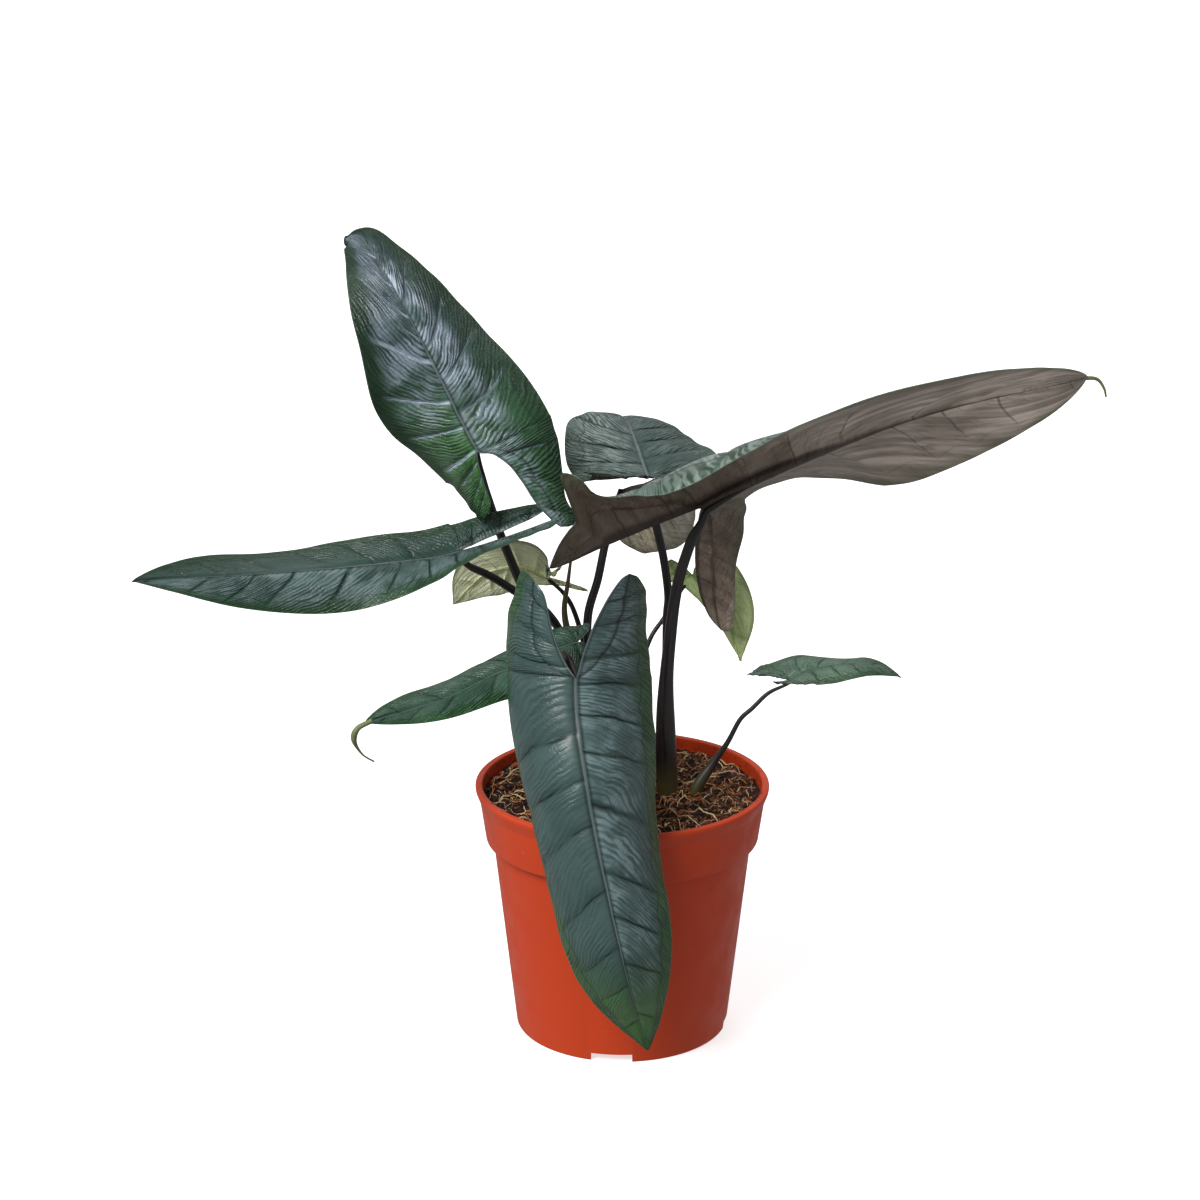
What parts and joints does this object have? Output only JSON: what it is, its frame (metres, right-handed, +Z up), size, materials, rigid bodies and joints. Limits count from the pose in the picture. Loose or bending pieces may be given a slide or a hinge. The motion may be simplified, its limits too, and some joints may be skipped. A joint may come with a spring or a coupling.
{
  "type": "potted plant",
  "caption": "Potted alocasia with long quilted arrow-shaped leaves on slender dark stalks, growing in peat in a small round nursery pot with a rolled rim.",
  "frame": {"origin": "centre of the pot base, on the plane of its foot", "axes": "+Z up, +X to the right and +Y away from the viewer in the picture, so the broad front leaf hangs over the rim on the -Y side"},
  "size_m": [0.3791, 0.1886, 0.3247],
  "materials": {
    "pot": "satin",
    "soil": "matte",
    "leaf_top": "satin",
    "leaf_underside": "matte",
    "leaf_young": "matte",
    "stalk": "satin",
    "shoot": "matte"
  },
  "bodies": {
    "root": {"pot": "pot", "soil": "soil", "blade_upper_left": "leaf_top", "stalk_upper_left": "stalk", "blade_left": "leaf_top", "stalk_left": "stalk", "blade_right": "leaf_underside", "stalk_right": "stalk", "blade_back": "leaf_top", "stalk_back": "stalk", "blade_front": "leaf_top", "stalk_front": "stalk", "blade_lower_left": "leaf_top", "stalk_lower_left": "stalk", "blade_small_right": "leaf_top", "stalk_small_right": "stalk", "blade_pale_left": "leaf_young", "stalk_pale_left": "stalk", "blade_pale_right": "leaf_young", "stalk_pale_right": "stalk", "blade_hidden_back": "leaf_underside", "stalk_hidden_back": "stalk", "new_shoot": "shoot"}
  },
  "joints": []
}
